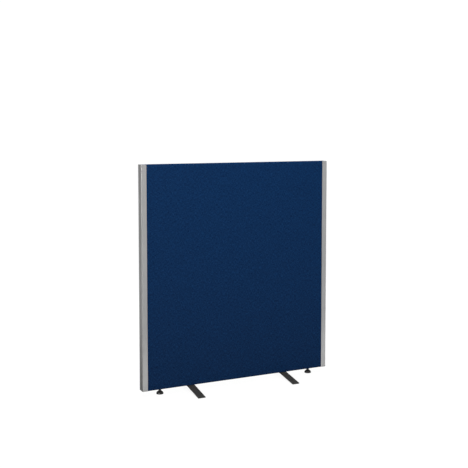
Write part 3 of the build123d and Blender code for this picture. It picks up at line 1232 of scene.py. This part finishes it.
@dataclass
class LevellingGlides:
    """Screw-adjusted glides near both ends: moulded bells on threaded stems."""

    sides: int = 64
    crease: float = 35
    recess_radius: float = 15.5 * MM
    recess_depth: float = 0.8 * MM
    base_width: float = 1 * MM
    base_chamfer: float = 0.3 * MM
    groove_low: float = 3.3 * MM
    groove_depth: float = 0.45 * MM
    groove_width: float = 0.6 * MM
    rim_height: float = 5 * MM
    shoulder: Pair = (16.2 * MM, 10 * MM)
    shoulder_steps: int = 9
    neck: Pair = (9.5 * MM, 15.5 * MM)
    top_radius: float = 8.5 * MM
    lip: float = 0.4 * MM
    stem_radius: float = 4 * MM
    fit: float = 0.05 * MM
    bulb_radius: float = 6 * MM
    bulb: Pair = (5 * MM, 9 * MM)
    bulb_ease: float = 0.6 * MM
    collar_gap: float = 0.1 * MM
    collar_height: float = 5 * MM
    collar_flats: float = 13 * MM
    collar_sides: int = 6
    collar_chamfer: float = 0.7 * MM
    collar_slope: float = 30
    pitch: float = 1.25 * MM
    thread_depth: float = 0.62 * MM
    flank: float = 1.5
    turn_steps: int = 32
    rows_per_turn: int = 6
    run_out: float = 1.2 * MM

    def __post_init__(self) -> None:
        """Reads the right pad's and stem's extents from the frame."""
        low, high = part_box("right_glide_pad")
        self.x = (low.x + high.x) / 2
        self.radius = (high.x - low.x) / 2
        self.top = high.z
        self.stem_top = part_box("right_glide_stem")[1].z

    def shoulder_arc(self) -> list[Pair]:
        """The bell's shoulder, an arc from the rim through the shoulder point to the neck.

        Returns:
            Radius and height of each point after the rim.
        """
        a, b, c = (Vector(p) for p in ((self.radius, self.rim_height), self.shoulder, self.neck))
        twice = 2 * (a.x * (b.y - c.y) + b.x * (c.y - a.y) + c.x * (a.y - b.y))
        squares = [p.length_squared for p in (a, b, c)]
        centre = Vector((
            (squares[0] * (b.y - c.y) + squares[1] * (c.y - a.y) + squares[2] * (a.y - b.y)) / twice,
            (squares[0] * (c.x - b.x) + squares[1] * (a.x - c.x) + squares[2] * (b.x - a.x)) / twice,
        ))
        start, end = (math.atan2(p.y - centre.y, p.x - centre.x) for p in (a, c))
        reach = (a - centre).length
        points = []
        for step in range(1, self.shoulder_steps + 1):
            angle = start + (end - start) * step / self.shoulder_steps
            points.append((centre.x + reach * math.cos(angle), centre.y + reach * math.sin(angle)))
        return points

    def pad(self) -> None:
        """The moulded bell, with a recessed base, a moulded line and a socket for the stem."""
        rim, top, lip = self.radius, self.top, self.lip
        groove = rim - self.groove_depth
        ease = self.groove_depth / 2
        bore, cavity = self.stem_radius + self.fit, self.bulb_radius + self.fit
        outline = [
            (self.recess_radius, self.recess_depth), (self.recess_radius, 0),
            (rim - self.base_width, 0), (rim - self.base_chamfer, self.base_chamfer),
            (rim, self.base_width), (rim, self.groove_low), (groove, self.groove_low + ease),
            (groove, self.groove_low + self.groove_width),
            (rim, self.groove_low + self.groove_width + ease), (rim, self.rim_height),
            *self.shoulder_arc(),
            (self.top_radius, top - lip), (self.top_radius - lip, top),
            (bore + lip, top), (bore, top - lip), (bore, self.bulb[1] + self.fit),
            (cavity, self.bulb[1] + self.fit), (cavity, self.bulb[0] - self.fit),
        ]
        bell = Workpiece.turned("glide_bell", self.x, outline, self.sides)
        bell.smooth(self.crease)
        bell.place_pair(BLACK_PLASTIC, "glide_pad", rides=True)

    def collar(self) -> Workpiece:
        """The hexagon that a spanner turns, with its corners chamfered top and bottom.

        Returns:
            The hexagon.
        """
        low = self.top + self.collar_gap
        high = low + self.collar_height
        corner = self.collar_flats / 2 / math.cos(math.pi / self.collar_sides)
        middle = (self.x, 0, low + self.collar_height / 2)
        hexagon = Workpiece.bar("hexagon", middle, corner, self.collar_height, self.collar_sides)
        face = corner - self.collar_chamfer
        drop = self.collar_chamfer * math.tan(math.radians(self.collar_slope))
        wide = corner + TINY
        outline = [(face, low), (wide, low + drop), (wide, high - drop), (face, high)]
        hexagon.combine(Workpiece.turned("cone", self.x, outline, self.sides), Merge.KEEP_SHARED)
        return hexagon

    def shank(self) -> Workpiece:
        """The threaded shank: a bar whose surface rises and falls once a pitch along a helix.

        Returns:
            The shank.
        """
        low = self.top + self.collar_gap + self.collar_height - 2 * self.lip
        length = self.stem_top - low
        rows = round(length / self.pitch * self.rows_per_turn)
        coarse = round(math.sqrt(rows))
        centre = (self.x, 0, low + length / 2)
        bar = Workpiece.bar("shank", centre, self.stem_radius, length, self.turn_steps)
        with bar.editing():
            bar.slice_along("z", coarse - 1)
            bar.slice_along("z", math.ceil(rows / coarse) - 1)
        for corner in bar.body.data.vertices:
            away = Vector((corner.co.x - self.x, corner.co.y))
            turn = (corner.co.z / self.pitch - math.atan2(away.y, away.x) / math.tau) % 1
            faded = 1 - (self.stem_top - corner.co.z) / self.run_out
            groove = self.thread_depth * max(faded, min(1, self.flank * abs(2 * turn - 1)))
            scale = (self.stem_radius - groove) / away.length
            corner.co.x, corner.co.y = self.x + away.x * scale, away.y * scale
        return bar

    def stem(self) -> None:
        """The stem: its bulb and neck, the hexagon and the threaded shank, joined into one."""
        (low, high), wide, ease = self.bulb, self.bulb_radius, self.bulb_ease
        outline = [
            (wide - ease, low), (wide, low + ease), (wide, high - ease), (wide - ease, high),
            (self.stem_radius, high), (self.stem_radius, self.top + self.collar_gap + self.lip),
        ]
        piece = Workpiece.turned("threaded_stem", self.x, outline, self.sides)
        piece.combine(self.collar(), Merge.ADD)
        piece.combine(self.shank(), Merge.ADD)
        piece.smooth(self.crease)
        piece.place_pair(BLACK_ZINC, "glide_stem", rides=True)

    def build(self) -> None:
        """Makes the pads and the stems, and dresses the sleeves in the rail."""
        self.pad()
        self.stem()
        BRIGHT_ZINC.on_node("left_glide_insert", "right_glide_insert")


# The studio


@dataclass(frozen=True)
class SoftBox:
    """Rectangular studio light, by where it hangs and what it points at."""

    name: str
    place: Point
    aim: Point
    width: float
    height: float
    power: float
    lights_up: LightsUp = LightsUp.ONLY_GLOSS

    def hang(self) -> None:
        """Adds the light."""
        clear_selection()
        bpy.ops.object.light_add(type="AREA", location=self.place)
        lamp = bpy.context.object
        lamp.name = lamp.data.name = self.name
        lamp.data.shape = "RECTANGLE"
        lamp.data.size, lamp.data.size_y = self.width, self.height
        lamp.data.energy = self.power
        lamp.visible_camera = False
        lamp.visible_diffuse = self.lights_up is LightsUp.ALL_BUT_GLOSS
        lamp.visible_glossy = self.lights_up is LightsUp.ONLY_GLOSS
        aim = Vector(self.aim) - Vector(self.place)
        lamp.rotation_euler = aim.to_track_quat("-Z", "Y").to_euler()


@dataclass
class Studio:
    """Pale floor, soft light and the camera at the photograph's viewing angle."""

    floor_half: float = 60
    floor_seen: Colour = grey(0.07)
    # Colour the floor throws back, near the screen and far out: the lower near value is painted shade
    # in place of the screen's shadow.
    floor_bounce_shaded_near: Pair = (0.1, 0.45)
    bounce_reach: Pair = (0.6, 2.4)
    floor_glow: float = 0.935
    overhead: float = 2.3
    overhead_spread: float = 50
    sky_strength: Pair = (0.21, 0.9)
    sky_reach: Pair = (-0.25, 1)
    backdrop: float = 1.05
    camera_place: Point = (-2.05413, -4.23715, 1.43145)
    camera_turn: float = 25.673
    camera_dip: float = 4.0
    lens: float = 66.096
    shift: float = -0.10344
    lights: tuple[SoftBox, ...] = (
        SoftBox(
            "front_key", (-0.35, -2.6, 2.22), (0, 0, 0.9), 0.9, 0.9, 51.5, LightsUp.ALL_BUT_GLOSS
        ),
        SoftBox("rear_key", (0.35, 2.6, 2.22), (0, 0, 0.9), 0.9, 0.9, 51.5, LightsUp.ALL_BUT_GLOSS),
        SoftBox("front_floor_glow", (0.5, -0.46, 0.003), (0.5, -0.46, 2), 2.5, 0.8, 9.5),
        SoftBox("left_edge_light", (-3.0, -2.2, 1.2), (-0.56, 0, 0.8), 0.3, 2.2, 220),
        SoftBox("rear_floor_glow", (0.95, 0.46, 0.003), (0.95, 0.46, 2), 2.3, 0.8, 8),
    )

    def lay_floor(self) -> None:
        """The plain pale floor, which throws back less light than it shows, with painted shade that
        darkens it towards the screen.
        """
        add = bpy.ops.mesh.primitive_plane_add
        floor = Workpiece.start("studio_floor", add, size=2 * self.floor_half)
        with floor.editing():
            bpy.ops.mesh.select_all(action="SELECT")
            bpy.ops.mesh.inset(thickness=self.floor_half / 4)
        recipe = Recipe("pale_floor", Coordinates.OBJECT)
        seen = recipe.node("LightPath", {}).outputs["Is Camera Ray"]
        far = recipe.node("VectorMath", {0: recipe.place}, operation="LENGTH").outputs["Value"]
        # Painted shade: the colour the floor throws back darkens towards the screen, standing in for
        # the screen's shadow at its foot.
        bounce = recipe.ranged(far, self.bounce_reach, self.floor_bounce_shaded_near)
        recipe.surface(
            base_color=recipe.blend(seen, bounce, self.floor_seen),
            roughness=0.9,
            specular_ior_level=0.05,
            emission_color=grey(1),
            emission_strength=recipe.reckon("MULTIPLY", seen, self.floor_glow),
        )
        floor.body.data.materials.append(recipe.material)

    def open_sky(self) -> None:
        """A surround that lights the screen from all round, less from its left, and reads as white."""
        world = bpy.context.scene.world = bpy.data.worlds.new("studio_surround")
        wiring = Wiring(world)
        direction = wiring.node("TexCoord", {}).outputs["Generated"]
        apart = wiring.node("SeparateXYZ", {"Vector": direction})
        sky = wiring.ranged(apart.outputs["X"], self.sky_reach, self.sky_strength)
        seen = wiring.node("LightPath", {}).outputs["Is Camera Ray"]
        strength = wiring.node("Mix", {"Factor": seen, "A": sky, "B": self.backdrop})
        lit = {"Color": grey(1), "Strength": strength.outputs["Result"]}
        surround = wiring.node("Background", lit).outputs["Background"]
        wiring.node("OutputWorld", {"Surface": surround})

    def hang_overhead(self) -> None:
        """A wide overhead light, even over the whole floor so that it stays white to the horizon."""
        clear_selection()
        bpy.ops.object.light_add(type="SUN")
        lamp = bpy.context.object
        lamp.name = lamp.data.name = "overhead"
        lamp.data.energy = self.overhead
        lamp.data.angle = math.radians(self.overhead_spread)

    def set_camera(self) -> None:
        """The camera, level from side to side and dipped a little, with the rest by shift."""
        turn, dip = math.radians(self.camera_turn), math.radians(self.camera_dip)
        level = math.cos(dip)
        aim = Vector((math.sin(turn) * level, math.cos(turn) * level, -math.sin(dip)))
        clear_selection()
        bpy.ops.object.camera_add(
            location=self.camera_place, rotation=aim.to_track_quat("-Z", "Y").to_euler()
        )
        camera = bpy.context.object
        camera.data.lens = self.lens
        camera.data.shift_y = self.shift
        camera.data.clip_end = 4 * self.floor_half
        bpy.context.scene.camera = camera

    def build(self) -> None:
        """Sets up the whole studio."""
        self.set_camera()
        self.lay_floor()
        self.open_sky()
        self.hang_overhead()
        for light in self.lights:
            light.hang()
        bpy.context.scene.view_settings.view_transform = "Standard"
        bpy.context.scene.view_settings.look = "None"


def main() -> None:
    """Builds the studio and the screen, sub-assembly by sub-assembly."""
    logging.basicConfig(level=logging.INFO, format="%(name)s: %(message)s")
    Studio().build()
    PaddedPanel().build()
    EdgeTrims().build()
    BarFeet().build()
    LevellingGlides().build()


if __name__ == "__main__":
    main()
